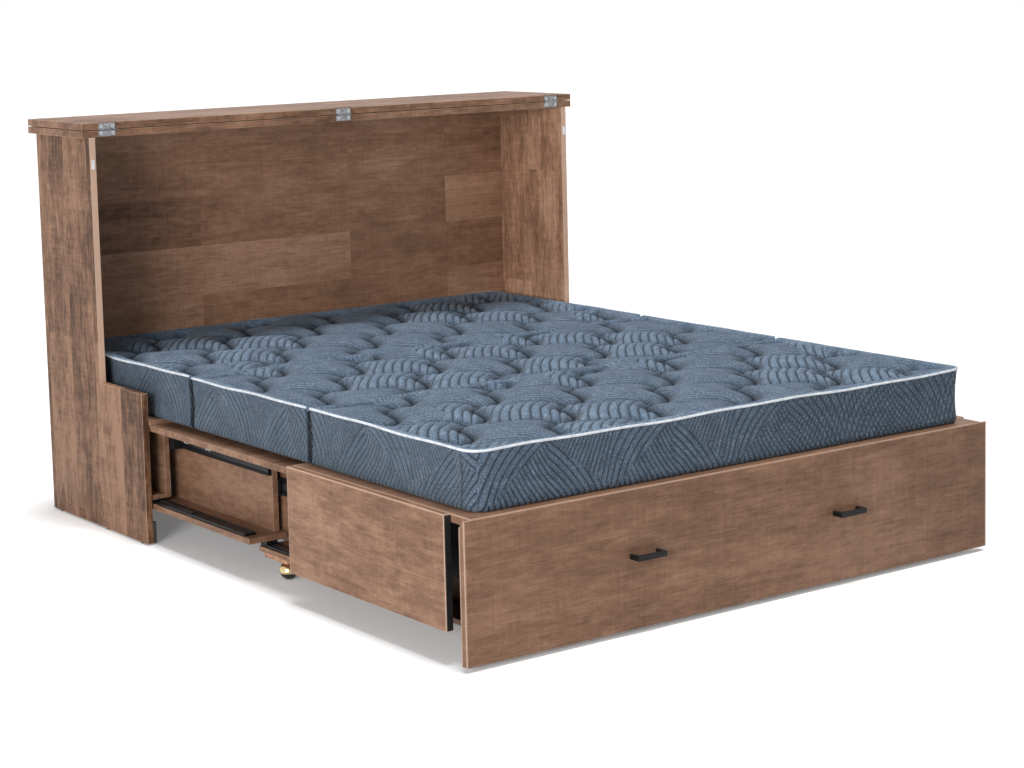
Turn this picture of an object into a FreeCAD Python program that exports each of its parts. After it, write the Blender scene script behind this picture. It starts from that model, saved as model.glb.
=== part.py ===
# Cabinet bed, modelled open for sleeping.
# Millimetres, +X to the right, +Y from the foot to the wall, +Z up.
# Inside the script y = 0 is the outer face of the footboard. The solids are moved to the middle at the end.
import FreeCAD, Part
import os

Vector = FreeCAD.Vector
SIDES = (("left", -1), ("right", 1))

# Overall sizes
bedWidth = 1626.0
bedLength = 2076.0
cabinetHeight = 1084.0
cabinetDepth = 338.0
stepDepth = 246.0
stepHeight = 412.0
deckTop = 338.0

# Board stock
panelBoard = 19.0
plyBoard = 12.0
wallBoard = 16.0
edgeEase = 1.5
plyEase = 0.8
runClear = 1.0
cutOverrun = 6.0
restClear = 0.3

# Folding top
leafSideOverhang = 20.0
leafRearOverhang = 8.0
leafGap = 2.0
leafJointGap = 1.5

# Hinges of the folding top
topHingeSideInset = 56.0
topHingeLength = 52.0
hingePlateThick = 2.0
hingePocketDepth = 5.0
hingePocketClear = 0.5
hingePlateInset = 2.0
barrelRadius = 2.6
hingePinRadius = 1.2
pinClear = 0.05
knuckleClear = 0.4
lugClear = 0.3

# Cabinet fittings
glideRadius = 8.0
glideHeight = 4.0
glideInset = 40.0
footBlockWidth = 10.0
footBlockDepth = 32.0
footBlockHeight = 58.0
catchWidth = 9.0
catchHeight = 26.0
catchThick = 2.0
catchDrop = 60.0
backPanelLift = 60.0

# Fixed platform in the cabinet
headDeckLip = 2.0
cleatDepth = 20.0
cleatHeight = 30.0
fixedWallSetback = 4.0
fixedWallInset = 59.0
fixedLedgeBottom = 122.0

# Middle section
midDeckGap = 15.0
midDeckOverlap = 75.0
midDeckClear = 4.0
upperSlideSpace = 35.0
midWallFront = 1010.0
midBoardFront = 980.0
midBoardLip = 20.0
midBoardBottom = 96.0
midBoardThick = 14.5

# Front section
footboardClear = 12.0
innerSlideSpace = 17.0
frontWallRear = 1050.0
frontBoardLip = 27.0
frontBoardReach = 78.0
frontBoardRear = 1010.0
frontBoardBottom = 68.0
frontBoardThick = 13.0
bracketThick = 3.0
bracketLength = 280.0
bracketBottom = 140.0
frontGlideRadius = 16.0
frontGlideY = 110.0
frontGlideReach = 33.0

# Slide members
sideSlideHeight = 45.0
upperSlideBottom = 255.0
innerSlideBottom = 200.0
slideLead = 22.0
midUpperSlideThick = 11.0
midInnerSlideThick = 10.0
innerSlideFront = 430.0
flatSlideWidth = 33.0
flatSlideOffset = 5.0
midFlatSlideThick = 7.5
lowerSlideMidThick = 8.0
slideEase = 0.8

# Folding front panel, which lies down as the foot deck
panelLength = 742.0
mitreGap = 0.8
mitreLand = 0.6
wingStart = 76.0
wingDepth = 262.0
wingStripThick = 2.0
wingStripInset = 3.0
battenWidth = 42.0
battenFront = 60.0
battenRearInset = 22.0
panelHingeSideInset = 194.0
panelHingeLength = 60.0
panelHingeDepth = 9.0
panelHingeHeight = 10.0

# Handles
handleSpread = 316.0
handleHeight = 182.0
handleHoleSpacing = 76.0
handleReach = 32.0
handleBarDepth = 10.0
handleBarHeight = 12.5
handlePostWidth = 8.0
handleEase = 1.2
screwRadius = 2.0
screwClear = 0.1
screwHeadRadius = 4.0
screwHeadHeight = 2.5
screwReach = 14.0

# Casters
casterReach = 33.0
casterY = 942.0
casterBallRadius = 22.0
casterHoodGap = 0.8
casterHoodThick = 2.0
casterMouthShare = 0.15
casterAxleRadius = 3.0
casterStemRadius = 5.5
casterBlockWidth = 74.0
casterBlockLength = 110.0
casterBlockThick = 14.0

# Mattress in three sections
mattressSideGap = 32.0
mattressFoot = 26.0
mattressHeadGap = 2.0
mattressFootLap = 22.0
mattressHeadLap = 178.0
mattressEdge = 141.0
mattressCrown = 8.0
mattressDraw = 5.0
mattressRound = 16.0
mattressJoinRound = 9.0
mattressCorner = 45.0
mattressJoinCorner = 10.0
mattressJoinGap = 1.0

# Places that follow from the sizes
halfWidth = bedWidth / 2
sideInner = halfWidth - panelBoard
backInner = bedLength - plyBoard
upperFront = bedLength - cabinetDepth
stepFront = upperFront - stepDepth
topHingeReach = halfWidth - topHingeSideInset
headDeckFront = stepFront - headDeckLip
fixedWallFront = stepFront + fixedWallSetback
fixedWallRear = backInner - cleatDepth
fixedWallInner = sideInner - fixedWallInset
slideFront = stepFront - slideLead
midDeckFront = panelLength + midDeckGap
midDeckRear = headDeckFront + midDeckOverlap
midDeckHalf = sideInner - midDeckClear
midWallOuter = fixedWallInner - upperSlideSpace
midBoardInner = midWallOuter - midBoardLip
frontWallOuter = midWallOuter - wallBoard - innerSlideSpace
frontBoardInner = frontWallOuter - frontBoardLip
frontBoardOuter = frontWallOuter + frontBoardReach
frontGlideX = frontWallOuter + frontGlideReach
casterX = frontWallOuter + casterReach
panelHingeReach = sideInner - panelHingeSideInset
mattressWidth = (sideInner - mattressSideGap) * 2
mattressFootJoin = panelLength - mattressFootLap
mattressHeadJoin = headDeckFront - mattressHeadLap
battenRear = panelLength - battenRearInset
topHingeY = upperFront - leafJointGap / 2
topHingeZ = cabinetHeight + panelBoard + leafGap / 2
headDeckBottom = deckTop - plyBoard
midDeckTop = headDeckBottom - runClear
midDeckBottom = midDeckTop - wallBoard
frontWallTop = midDeckBottom - runClear
midBoardTop = midBoardBottom + midBoardThick
frontBoardTop = frontBoardBottom + frontBoardThick
panelBottom = deckTop - panelBoard
mattressBase = deckTop + restClear
handleLength = handleHoleSpacing + handlePostWidth
overallCentreY = (bedLength + leafRearOverhang - handleReach) / 2

nodes = {}


def add(name, *solids):
    nodes.setdefault(name, []).extend(solids)


def block(x0, x1, y0, y1, z0, z1):
    return Part.makeBox(abs(x1 - x0), y1 - y0, z1 - z0, Vector(min(x0, x1), y0, z0))


def eased(solid, radius):
    return solid.makeFillet(radius, solid.Edges)


def board(x0, x1, y0, y1, z0, z1, ease=edgeEase):
    return eased(block(x0, x1, y0, y1, z0, z1), ease)


def prismX(points, x0, x1):
    # An outline of (y, z) points, extruded from x0 to x1
    corners = [Vector(min(x0, x1), y, z) for y, z in points]
    face = Part.Face(Part.makePolygon(corners + corners[:1]))
    return face.extrude(Vector(abs(x1 - x0), 0, 0))


def rodX(radius, x0, x1, y, z):
    return Part.makeCylinder(radius, x1 - x0, Vector(x0, y, z), Vector(1, 0, 0))


def rodZ(radius, x, y, z0, z1):
    return Part.makeCylinder(radius, z1 - z0, Vector(x, y, z0))


def hingePlaces(reach):
    return (-reach, 0.0, reach)


def sidePanels():
    outline = [
        (stepFront, glideHeight),
        (bedLength, glideHeight),
        (bedLength, cabinetHeight),
        (upperFront, cabinetHeight),
        (upperFront, stepHeight),
        (stepFront, stepHeight),
    ]
    glidePlaces = (stepFront + glideInset, upperFront, bedLength - glideInset)
    for side, sign in SIDES:
        panel = eased(prismX(outline, sign * sideInner, sign * halfWidth), edgeEase)
        add(side + "_side_panel", panel)
        glideX = sign * (halfWidth - panelBoard / 2)
        for glideY in glidePlaces:
            add("cabinet_glides", rodZ(glideRadius, glideX, glideY, 0, glideHeight))
        blockInner = sign * (sideInner - footBlockWidth)
        footBlock = board(blockInner, sign * sideInner, stepFront + edgeEase,
                          stepFront + edgeEase + footBlockDepth, glideHeight, glideHeight + footBlockHeight)
        add("foot_blocks", footBlock)
        catchX = sign * (halfWidth - panelBoard / 2)
        catchTop = cabinetHeight - catchDrop
        add("closing_catches", board(catchX - catchWidth / 2, catchX + catchWidth / 2,
                                     upperFront - catchThick, upperFront,
                                     catchTop - catchHeight, catchTop, catchThick / 4))


def backPanel():
    add("back_panel", board(-sideInner, sideInner, backInner, bedLength,
                            backPanelLift, cabinetHeight, plyEase))


def topLeaf(zBottom):
    half = halfWidth + leafSideOverhang
    leaf = board(-half, half, upperFront, bedLength + leafRearOverhang, zBottom, zBottom + panelBoard)
    pocketHalf = topHingeLength / 2 + hingePocketClear
    for x in hingePlaces(topHingeReach):
        pocket = block(x - pocketHalf, x + pocketHalf,
                       upperFront - edgeEase, upperFront + hingePocketDepth,
                       zBottom - edgeEase, zBottom + panelBoard + edgeEase)
        leaf = leaf.cut(pocket)
    return leaf


def hingePlate(x, zBottom, zTop, lugLow, lugHigh, knuckles):
    # A plate on the edge of a leaf, with the knuckles that carry it on the pin
    plateFront = upperFront + hingePocketDepth - hingePlateThick
    plate = block(x - topHingeLength / 2, x + topHingeLength / 2,
                  plateFront, plateFront + hingePlateThick, zBottom, zTop)
    for start, end in knuckles:
        barrel = rodX(barrelRadius, start, end, topHingeY, topHingeZ)
        lug = block(start, end, topHingeY, plateFront, lugLow, lugHigh)
        plate = plate.fuse([barrel, lug])
    bore = rodX(hingePinRadius + pinClear, x - topHingeLength, x + topHingeLength, topHingeY, topHingeZ)
    return plate.removeSplitter().cut(bore)


def foldingTop():
    rearBottom = cabinetHeight
    frontBottom = cabinetHeight + panelBoard + leafGap
    add("rear_top_leaf", topLeaf(rearBottom))
    add("front_top_leaf", topLeaf(frontBottom))
    third = topHingeLength / 3
    for x in hingePlaces(topHingeReach):
        start = x - topHingeLength / 2
        outerKnuckles = (
            (start, start + third - knuckleClear),
            (start + third * 2 + knuckleClear, start + topHingeLength),
        )
        middleKnuckle = ((start + third, start + third * 2),)
        rearPlate = hingePlate(x, rearBottom + hingePlateInset, rearBottom + panelBoard,
                               topHingeZ - barrelRadius, topHingeZ - lugClear, outerKnuckles)
        frontPlate = hingePlate(x, frontBottom, frontBottom + panelBoard - hingePlateInset,
                                topHingeZ + lugClear, topHingeZ + barrelRadius, middleKnuckle)
        add("top_hinge_rear_plates", rearPlate)
        add("top_hinge_front_plates", frontPlate)
        add("top_hinge_pins", rodX(hingePinRadius, start, start + topHingeLength, topHingeY, topHingeZ))


def fixedPlatform():
    add("head_deck", board(-sideInner, sideInner, headDeckFront, backInner,
                           headDeckBottom, deckTop, plyEase))
    add("deck_cleat", board(-sideInner, sideInner, backInner - cleatDepth, backInner,
                            headDeckBottom - cleatHeight, headDeckBottom, plyEase))
    wallOuter = fixedWallInner + wallBoard
    wallTop = midDeckBottom - runClear
    flatOuter = midDeckHalf - flatSlideOffset
    for side, sign in SIDES:
        add(side + "_fixed_wall", board(sign * fixedWallInner, sign * wallOuter,
                                        fixedWallFront, fixedWallRear,
                                        fixedLedgeBottom, wallTop, plyEase))
        add(side + "_fixed_ledge", board(sign * wallOuter, sign * sideInner, fixedWallFront, backInner,
                                         fixedLedgeBottom, fixedLedgeBottom + plyBoard, plyEase))
        sideSlideInner = midWallOuter + midUpperSlideThick + restClear
        add("fixed_upper_slides", board(sign * sideSlideInner, sign * fixedWallInner,
                                        slideFront, fixedWallRear, upperSlideBottom,
                                        upperSlideBottom + sideSlideHeight, slideEase))
        flatBottom = midBoardTop + midFlatSlideThick + restClear
        add("fixed_lower_slides", board(sign * (flatOuter - flatSlideWidth), sign * flatOuter,
                                        fixedWallFront, backInner, flatBottom, fixedLedgeBottom, slideEase))


def middleSection():
    add("mid_deck", board(-midDeckHalf, midDeckHalf, midDeckFront, midDeckRear,
                          midDeckBottom, midDeckTop, plyEase))
    flatOuter = midDeckHalf - flatSlideOffset
    frontFlatOuter = frontBoardOuter - flatSlideOffset
    for side, sign in SIDES:
        wallInner = midWallOuter - wallBoard
        add(side + "_mid_wall", board(sign * wallInner, sign * midWallOuter, midWallFront, midDeckRear,
                                      midBoardTop, midDeckBottom, plyEase))
        add(side + "_mid_bottom_board", board(sign * midBoardInner, sign * midDeckHalf,
                                              midBoardFront, midDeckRear,
                                              midBoardBottom, midBoardTop, plyEase))
        add("mid_upper_slides", board(sign * midWallOuter, sign * (midWallOuter + midUpperSlideThick),
                                      midWallFront, midDeckRear, upperSlideBottom,
                                      upperSlideBottom + sideSlideHeight, slideEase))
        add("mid_lower_slides", board(sign * (flatOuter - flatSlideWidth), sign * flatOuter,
                                      midWallFront, midDeckRear, midBoardTop,
                                      midBoardTop + midFlatSlideThick, slideEase))
        add("mid_inner_slides", board(sign * (wallInner - midInnerSlideThick), sign * wallInner,
                                      midWallFront, midDeckRear, innerSlideBottom,
                                      innerSlideBottom + sideSlideHeight, slideEase))
        add("mid_under_slides", board(sign * (frontFlatOuter - flatSlideWidth), sign * frontFlatOuter,
                                      midBoardFront, midDeckRear, midBoardBottom - lowerSlideMidThick,
                                      midBoardBottom, slideEase))


def footboard():
    # The top edge is mitred towards the folding panel, with a narrow land at the outer face
    outline = [
        (0, footboardClear),
        (panelBoard, footboardClear),
        (panelBoard, panelBottom),
        (mitreLand, deckTop - mitreLand),
        (0, deckTop - mitreLand),
    ]
    body = prismX(outline, -halfWidth, halfWidth)
    for x in hingePlaces(panelHingeReach):
        body = body.cut(hingeCup(x, -1))
        add("panel_hinge_lower_cups", hingeCup(x, -1))
    for handleX in (-handleSpread, handleSpread):
        for screwX in (handleX - handleHoleSpacing / 2, handleX + handleHoleSpacing / 2):
            hole = Part.makeCylinder(screwRadius + screwClear, panelBoard, Vector(screwX, 0, handleHeight),
                                     Vector(0, 1, 0))
            body = body.cut(hole)
    add("footboard", body)


def hingeCup(x, level):
    # A concealed hinge body, let into the mitred edge of the footboard (level -1) or of the panel (level 1)
    middle = panelBoard / 2
    if level < 0:
        topZ = deckTop - middle
        outline = [
            (middle - panelHingeDepth / 2, topZ + panelHingeDepth / 2),
            (middle - panelHingeDepth / 2, topZ - panelHingeHeight),
            (middle + panelHingeDepth / 2, topZ - panelHingeHeight),
            (middle + panelHingeDepth / 2, topZ - panelHingeDepth / 2),
        ]
    else:
        frontY = middle + mitreGap
        midZ = deckTop - middle
        outline = [
            (frontY - panelHingeDepth / 2, midZ + panelHingeDepth / 2),
            (frontY + panelHingeHeight, midZ + panelHingeDepth / 2),
            (frontY + panelHingeHeight, midZ - panelHingeDepth / 2),
            (frontY + panelHingeDepth / 2, midZ - panelHingeDepth / 2),
        ]
    return prismX(outline, x - panelHingeLength / 2, x + panelHingeLength / 2)


def frontSection():
    footboard()
    wallInner = frontWallOuter - wallBoard
    flatOuter = frontBoardOuter - flatSlideOffset
    for side, sign in SIDES:
        add(side + "_front_wall", board(sign * wallInner, sign * frontWallOuter, panelBoard, frontWallRear,
                                        frontBoardTop, frontWallTop, plyEase))
        add(side + "_front_bottom_board", board(sign * frontBoardInner, sign * frontBoardOuter, panelBoard,
                                                frontBoardRear, frontBoardBottom, frontBoardTop, plyEase))
        add("front_side_slides", board(sign * frontWallOuter,
                                       sign * (midWallOuter - wallBoard - midInnerSlideThick - restClear),
                                       innerSlideFront, frontWallRear, innerSlideBottom,
                                       innerSlideBottom + sideSlideHeight, slideEase))
        add("front_lower_slides", board(sign * (flatOuter - flatSlideWidth), sign * flatOuter,
                                        innerSlideFront, frontBoardRear, frontBoardTop,
                                        midBoardBottom - lowerSlideMidThick - restClear, slideEase))
        bracketOuter = frontWallOuter + bracketThick
        add("corner_brackets", board(sign * frontWallOuter, sign * bracketOuter, panelBoard,
                                     panelBoard + bracketLength, bracketBottom, frontWallTop, plyEase))
        add("front_glides", rodZ(frontGlideRadius, sign * frontGlideX, frontGlideY, 0, frontBoardBottom))
    add("front_rear_rail", board(-wallInner, wallInner, frontWallRear - plyBoard, frontWallRear,
                                 frontBoardTop, frontWallTop, plyEase))


def handles():
    for side, sign in SIDES:
        handleX = sign * handleSpread
        half = handleLength / 2
        bar = block(handleX - half, handleX + half, -handleReach, handleBarDepth - handleReach,
                    handleHeight - handleBarHeight / 2, handleHeight + handleBarHeight / 2)
        screwPlaces = (handleX - handleHoleSpacing / 2, handleX + handleHoleSpacing / 2)
        for postX in screwPlaces:
            bar = bar.fuse(block(postX - handlePostWidth / 2, postX + handlePostWidth / 2,
                                 handleBarDepth / 2 - handleReach, 0,
                                 handleHeight - handleBarHeight / 2, handleHeight + handleBarHeight / 2))
        bar = bar.removeSplitter()
        rounded = [edge for edge in bar.Edges if edge.BoundBox.YMin < -edgeEase]
        bar = bar.makeFillet(handleEase, rounded)
        for screwX in screwPlaces:
            hole = Part.makeCylinder(screwRadius + screwClear, screwReach, Vector(screwX, 0, handleHeight),
                                     Vector(0, -1, 0))
            bar = bar.cut(hole)
            shank = Part.makeCylinder(screwRadius, panelBoard + screwReach,
                                      Vector(screwX, panelBoard, handleHeight), Vector(0, -1, 0))
            head = Part.makeCylinder(screwHeadRadius, screwHeadHeight,
                                     Vector(screwX, panelBoard, handleHeight), Vector(0, 1, 0))
            add("handle_screws", shank.fuse(head).removeSplitter())
        add(side + "_handle", bar)


def foldingPanel():
    outline = [
        (mitreGap, deckTop),
        (panelLength, deckTop),
        (panelLength, panelBottom),
        (panelBoard + mitreGap, panelBottom),
    ]
    panel = prismX(outline, -sideInner, sideInner)
    for x in hingePlaces(panelHingeReach):
        panel = panel.cut(hingeCup(x, 1))
        add("panel_hinge_upper_cups", hingeCup(x, 1))
    add("front_panel", panel)
    battenMiddle = frontWallOuter - wallBoard / 2
    for side, sign in SIDES:
        wingBottom = deckTop - wingDepth
        add(side + "_wing", board(sign * sideInner, sign * halfWidth, wingStart, panelLength,
                                  wingBottom, deckTop))
        add(side + "_wing_strip", board(sign * (sideInner + edgeEase), sign * (halfWidth - edgeEase),
                                        wingStart - wingStripThick, wingStart, wingBottom + wingStripInset,
                                        deckTop - wingStripInset, wingStripThick / 4))
        battenInner = sign * (battenMiddle - battenWidth / 2)
        battenOuter = sign * (battenMiddle + battenWidth / 2)
        add("panel_battens", board(battenInner, battenOuter, battenFront, battenRear,
                                   frontWallTop + restClear, panelBottom, plyEase))


def turnedHood(x, inner, outer):
    # The hood and its stem, turned about the swivel axis. Heights are from the centre of the ball.
    def spot(radius, height):
        return Vector(x + radius, casterY, casterBallRadius + height)

    def onSphere(sphere, height):
        return spot((sphere ** 2 - height ** 2) ** 0.5, height)

    mouth = -outer * casterMouthShare
    shoulder = (outer ** 2 - casterStemRadius ** 2) ** 0.5
    stemTop = frontBoardBottom - casterBallRadius
    edges = [
        Part.makeLine(onSphere(inner, mouth), onSphere(outer, mouth)),
        Part.Arc(onSphere(outer, mouth), onSphere(outer, outer / 2), onSphere(outer, shoulder)).toShape(),
        Part.makeLine(onSphere(outer, shoulder), spot(casterStemRadius, stemTop)),
        Part.makeLine(spot(casterStemRadius, stemTop), spot(0, stemTop)),
        Part.makeLine(spot(0, stemTop), spot(0, inner)),
        Part.Arc(spot(0, inner), onSphere(inner, inner / 2), onSphere(inner, mouth)).toShape(),
    ]
    return Part.Face(Part.Wire(edges)).revolve(Vector(x, casterY, 0), Vector(0, 0, 1), 360)


def casters():
    hoodInner = casterBallRadius + casterHoodGap
    hoodOuter = hoodInner + casterHoodThick
    for side, sign in SIDES:
        x = sign * casterX
        centre = Vector(x, casterY, casterBallRadius)
        blockTop = frontBoardBottom
        blockBottom = blockTop - casterBlockThick
        mount = board(x - casterBlockWidth / 2, x + casterBlockWidth / 2, casterY - casterBlockLength / 2,
                      casterY + casterBlockLength / 2, blockBottom, blockTop, plyEase)
        add("caster_blocks", mount.cut(rodZ(casterStemRadius + pinClear, x, casterY, blockBottom, blockTop)))
        axleHole = rodX(casterAxleRadius + pinClear, x - hoodOuter, x + hoodOuter, casterY, casterBallRadius)
        ball = Part.makeSphere(casterBallRadius, centre, Vector(1, 0, 0)).cut(axleHole)
        hood = turnedHood(x, hoodInner, hoodOuter).cut(axleHole)
        axle = rodX(casterAxleRadius, x - hoodOuter, x + hoodOuter, casterY, casterBallRadius)
        add(side + "_caster_ball", ball)
        add(side + "_caster_hood", hood)
        add(side + "_caster_axle", axle)


def roundedOutline(low, high, base, top, roundLow, roundHigh, drawLow, drawHigh, crown):
    # Corner points and arcs of a padded section, as (a, b) pairs: a across, b up
    cut = 1 - 0.5 ** 0.5
    middle = (base + top) / 2
    centre = (low + high) / 2
    return [
        ("line", (low + roundLow, base), (high - roundHigh, base)),
        ("arc", (high - roundHigh, base), (high - roundHigh * cut, base + roundHigh * cut),
         (high, base + roundHigh)),
        ("arc", (high, base + roundHigh), (high - drawHigh, middle), (high, top - roundHigh)),
        ("arc", (high, top - roundHigh), (high - roundHigh * cut, top - roundHigh * cut),
         (high - roundHigh, top)),
        ("arc", (high - roundHigh, top), (centre, top + crown), (low + roundLow, top)),
        ("arc", (low + roundLow, top), (low + roundLow * cut, top - roundLow * cut), (low, top - roundLow)),
        ("arc", (low, top - roundLow), (low + drawLow, middle), (low, base + roundLow)),
        ("arc", (low, base + roundLow), (low + roundLow * cut, base + roundLow * cut),
         (low + roundLow, base)),
    ]


def outlineFace(outline, place):
    edges = []
    for kind, *points in outline:
        spots = [place(a, b) for a, b in points]
        start, end = spots[0], spots[-1]
        straight = kind == "line" or (spots[1] - (start + end) / 2).Length < edgeEase / 100
        edges.append(Part.makeLine(start, end) if straight else Part.Arc(*spots).toShape())
    return Part.Face(Part.Wire(edges))


def mattressSection(name, front, rear, footEnd, headEnd):
    # The common volume of three outlines: across the bed, along it, and from above.
    # Each reaches past the others.
    half = mattressWidth / 2
    base = mattressBase
    top = base + mattressEdge
    length = rear - front
    roundFront = mattressRound if footEnd else mattressJoinRound
    roundRear = mattressRound if headEnd else mattressJoinRound
    drawFront = mattressDraw if footEnd else 0
    drawRear = mattressDraw if headEnd else 0
    acrossOutline = roundedOutline(-half, half, base, top, mattressRound, mattressRound,
                                   mattressDraw, mattressDraw, mattressCrown)
    acrossFace = outlineFace(acrossOutline, lambda a, b: Vector(a, front - cutOverrun, b))
    across = acrossFace.extrude(Vector(0, length + cutOverrun * 2, 0))
    alongOutline = roundedOutline(front, rear, base, top, roundFront, roundRear,
                                  drawFront, drawRear, mattressCrown)
    alongFace = outlineFace(alongOutline, lambda a, b: Vector(-half - cutOverrun, a, b))
    along = alongFace.extrude(Vector(mattressWidth + cutOverrun * 2, 0, 0))
    plan = block(-half - cutOverrun, half + cutOverrun, front - cutOverrun, rear + cutOverrun,
                 base - cutOverrun, top + mattressCrown + cutOverrun)
    frontRound = mattressCorner if footEnd else mattressJoinCorner
    rearRound = mattressCorner if headEnd else mattressJoinCorner
    for radius, place in ((frontRound, front - cutOverrun), (rearRound, rear + cutOverrun)):
        corners = [edge for edge in plan.Edges
                   if edge.BoundBox.ZLength > mattressEdge and edge.BoundBox.YLength < plyEase
                   and abs(edge.BoundBox.YMin - place) < plyEase]
        plan = plan.makeFillet(radius + cutOverrun, corners)
    add(name, across.common(along).common(plan))


def mattress():
    gap = mattressJoinGap / 2
    mattressSection("mattress_foot", mattressFoot, mattressFootJoin - gap, True, False)
    mattressSection("mattress_middle", mattressFootJoin + gap, mattressHeadJoin - gap, False, False)
    mattressSection("mattress_head", mattressHeadJoin + gap, backInner - mattressHeadGap, False, True)


sidePanels()
backPanel()
foldingTop()
fixedPlatform()
middleSection()
frontSection()
handles()
foldingPanel()
casters()
mattress()

os.makedirs("parts", exist_ok=True)
for name, solids in nodes.items():
    shape = solids[0] if len(solids) == 1 else Part.makeCompound(solids)
    shape.translate(Vector(0, -overallCentreY, 0))
    shape.exportStep("parts/" + name + ".step")
    box = shape.BoundBox
    print(f"{name:26s} {len(shape.Solids)} solids, valid {shape.isValid()}, {shape.Volume / 1e6:9.3f} l, "
          f"z {box.ZMin:.1f} to {box.ZMax:.1f}")
print(len(nodes), "nodes")
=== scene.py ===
import math

import bpy
import numpy as np
from mathutils import Matrix, Vector


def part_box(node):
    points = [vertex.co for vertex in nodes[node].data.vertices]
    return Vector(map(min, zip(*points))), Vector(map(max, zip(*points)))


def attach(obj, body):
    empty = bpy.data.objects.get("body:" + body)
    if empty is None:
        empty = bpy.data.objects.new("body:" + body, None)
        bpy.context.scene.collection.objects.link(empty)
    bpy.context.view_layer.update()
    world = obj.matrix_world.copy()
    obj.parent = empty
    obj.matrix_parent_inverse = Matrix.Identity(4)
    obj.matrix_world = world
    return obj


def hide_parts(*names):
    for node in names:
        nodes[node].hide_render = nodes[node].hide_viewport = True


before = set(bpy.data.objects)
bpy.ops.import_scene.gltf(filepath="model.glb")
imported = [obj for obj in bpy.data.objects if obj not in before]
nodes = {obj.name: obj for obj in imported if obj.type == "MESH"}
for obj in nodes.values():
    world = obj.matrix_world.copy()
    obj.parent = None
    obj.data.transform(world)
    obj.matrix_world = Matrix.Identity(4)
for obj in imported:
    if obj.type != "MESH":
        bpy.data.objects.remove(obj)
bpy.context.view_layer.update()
print("frame loaded:", len(nodes), "nodes")

squareOn = 0.9      # a face looks along an axis where its normal has more than this of it
tiny = 1e-6         # keeps a division away from zero


# Small helpers
def deselectAll():
    if bpy.context.object and bpy.context.object.mode != "OBJECT":
        bpy.ops.object.mode_set(mode="OBJECT")
    bpy.ops.object.select_all(action="DESELECT")


def makeActive(obj):
    deselectAll()
    obj.select_set(True)
    bpy.context.view_layer.objects.active = obj


def dress(obj, material):
    obj.data.materials.clear()
    obj.data.materials.append(material)


def readPoints(obj):
    flat = np.zeros(len(obj.data.vertices) * 3)
    obj.data.vertices.foreach_get("co", flat)
    return flat.reshape(-1, 3)


def writePoints(obj, points):
    obj.data.vertices.foreach_set("co", points.astype(np.float32).ravel())
    obj.data.update()


def setPointValue(obj, name, values):
    layer = obj.data.attributes.new(name, "FLOAT", "POINT")
    layer.data.foreach_set("value", values.astype(np.float32))


# Node building, shared by the studio and the finishes
def addNode(tree, kind, **values):
    node = tree.nodes.new(kind)
    for name, value in values.items():
        setattr(node, name, value)
    return node


def link(tree, source, target):
    tree.links.new(source, target)


def setInputs(node, values):
    for name, value in values.items():
        node.inputs[name].default_value = value


def mathNode(tree, operation, first, second=None, clamp=False):
    node = addNode(tree, "ShaderNodeMath", operation=operation, use_clamp=clamp)
    for slotNumber, value in enumerate((first, second)):
        if isinstance(value, (int, float)):
            node.inputs[slotNumber].default_value = value
        elif value is not None:
            link(tree, value, node.inputs[slotNumber])
    return node.outputs[0]


def sloped(tree, source, slope, base):
    # slope times the source, on top of the base
    return mathNode(tree, "ADD", mathNode(tree, "MULTIPLY", source, slope), base)


def rangeNode(tree, source, low, high, kind="LINEAR"):
    # 0 up to low, 1 from high on
    node = addNode(tree, "ShaderNodeMapRange", interpolation_type=kind)
    setInputs(node, {"From Min": low, "From Max": high})
    link(tree, source, node.inputs["Value"])
    return node.outputs[0]


def rampNode(tree, source, places, colours):
    node = addNode(tree, "ShaderNodeValToRGB")
    marks = node.color_ramp.elements
    while len(marks) < len(places):
        marks.new(0.5)       # its own place comes next
    for mark, place, colour in zip(marks, places, colours):
        mark.position = place
        mark.color = (*colour, 1)
    link(tree, source, node.inputs["Fac"])
    return node.outputs["Color"]


def socketOf(sockets, name, kind):
    return next(s for s in sockets if s.name == name and s.type == kind)


def mixColour(tree, factor, under, over):
    # Lays a plain colour over another one, as far as the factor says
    node = addNode(tree, "ShaderNodeMix", data_type="RGBA")
    link(tree, factor, socketOf(node.inputs, "Factor", "VALUE"))
    link(tree, under, socketOf(node.inputs, "A", "RGBA"))
    socketOf(node.inputs, "B", "RGBA").default_value = (*over, 1)
    return socketOf(node.outputs, "Result", "RGBA")


def vectorNode(tree, operation, first, second):
    node = addNode(tree, "ShaderNodeVectorMath", operation=operation)
    link(tree, first, node.inputs[0])
    link(tree, second, node.inputs[1])
    return node.outputs[0]


def splitVector(tree, vector):
    node = addNode(tree, "ShaderNodeSeparateXYZ")
    link(tree, vector, node.inputs[0])
    return node.outputs


def stretched(tree, vector, factors):
    node = addNode(tree, "ShaderNodeMapping")
    setInputs(node, {"Scale": factors})
    link(tree, vector, node.inputs["Vector"])
    return node.outputs["Vector"]


def noiseNode(tree, vector, scale, detail, roughness):
    node = addNode(tree, "ShaderNodeTexNoise")
    setInputs(node, {"Scale": scale, "Detail": detail, "Roughness": roughness})
    link(tree, vector, node.inputs["Vector"])
    return node.outputs["Fac"]


def waveNode(tree, vector, values):
    node = addNode(tree, "ShaderNodeTexWave", wave_type="BANDS", bands_direction="DIAGONAL")
    setInputs(node, values)
    link(tree, vector, node.inputs["Vector"])
    return node.outputs["Fac"]


def attributeNode(tree, name):
    return addNode(tree, "ShaderNodeAttribute", attribute_name=name).outputs["Fac"]


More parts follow.
